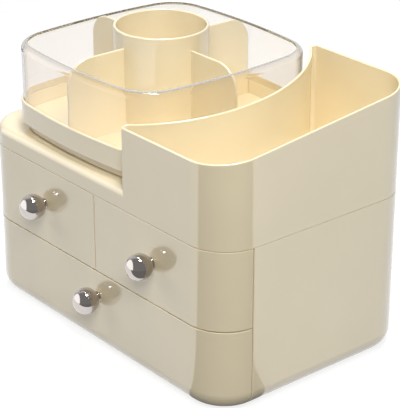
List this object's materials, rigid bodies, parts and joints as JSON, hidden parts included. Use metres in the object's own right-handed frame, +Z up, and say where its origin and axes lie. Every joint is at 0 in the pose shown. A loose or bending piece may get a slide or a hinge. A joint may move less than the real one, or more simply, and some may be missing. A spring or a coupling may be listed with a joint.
{
  "type": "makeup organizer",
  "caption": "Free-standing rounded organizer with a turning divided tray behind a clear wall, a tall open tub and wraparound drawers with ball knobs.",
  "frame": {"origin": "bottom centre of the whole object's bounding box, knobs included, on the surface that the feet stand on", "axes": "+X to the right along the width, +Y from the drawer fronts to the back, +Z up"},
  "size_m": [0.3, 0.2166, 0.2384],
  "materials": {
    "cream_plastic": "smooth glossy cream",
    "clear_plastic": "clear, polished",
    "chrome": "polished",
    "steel": "zinc plated",
    "bearing_plastic": "natural, matt",
    "foot_rubber": "matt"
  },
  "bodies": {
    "cabinet": {"cabinet_shell": "cream_plastic", "mid_shelf": "cream_plastic", "centre_partition": "cream_plastic", "rubber_feet": "foot_rubber", "top_cover": "cream_plastic", "cover_screws": "steel", "turntable_lower_race": "bearing_plastic", "lower_race_screws": "steel", "pivot_washer": "steel", "pivot_screw": "steel"},
    "carousel": {"tray_base": "cream_plastic", "clear_surround": "clear_plastic", "divider_insert": "cream_plastic", "turntable_upper_race": "bearing_plastic", "upper_race_screws": "steel"},
    "bearing": {"ball_cage": "bearing_plastic", "bearing_balls": "steel"},
    "lower_drawer": {"lower_drawer_box": "cream_plastic", "lower_drawer_front": "cream_plastic", "lower_knob": "chrome", "lower_knob_screw": "steel"},
    "upper_left_drawer": {"upper_left_drawer_box": "cream_plastic", "upper_left_drawer_front": "cream_plastic", "upper_left_knob": "chrome", "upper_left_knob_screw": "steel"},
    "upper_right_drawer": {"upper_right_drawer_box": "cream_plastic", "upper_right_drawer_front": "cream_plastic", "upper_right_knob": "chrome", "upper_right_knob_screw": "steel"}
  },
  "joints": [
    {"name": "carousel_turn", "type": "hinge", "parent": "cabinet", "child": "carousel", "pos_m": [-0.03655, 0.0108, 0.15], "axis": [0, 0, 1], "continuous": true},
    {"name": "bearing_roll", "type": "hinge", "parent": "cabinet", "child": "bearing", "pos_m": [-0.03655, 0.0108, 0.15], "axis": [0, 0, 1], "continuous": true},
    {"name": "lower_drawer_slide", "type": "slide", "parent": "cabinet", "child": "lower_drawer", "axis": [0, -1, 0], "range_m": [0, 0.13]},
    {"name": "upper_left_drawer_slide", "type": "slide", "parent": "cabinet", "child": "upper_left_drawer", "axis": [0, -1, 0], "range_m": [0, 0.13]},
    {"name": "upper_right_drawer_slide", "type": "slide", "parent": "cabinet", "child": "upper_right_drawer", "axis": [0, -1, 0], "range_m": [0, 0.13]}
  ],
  "couplings": [
    {"joint": "bearing_roll", "follows": "carousel_turn", "ratio": 0.5}
  ]
}
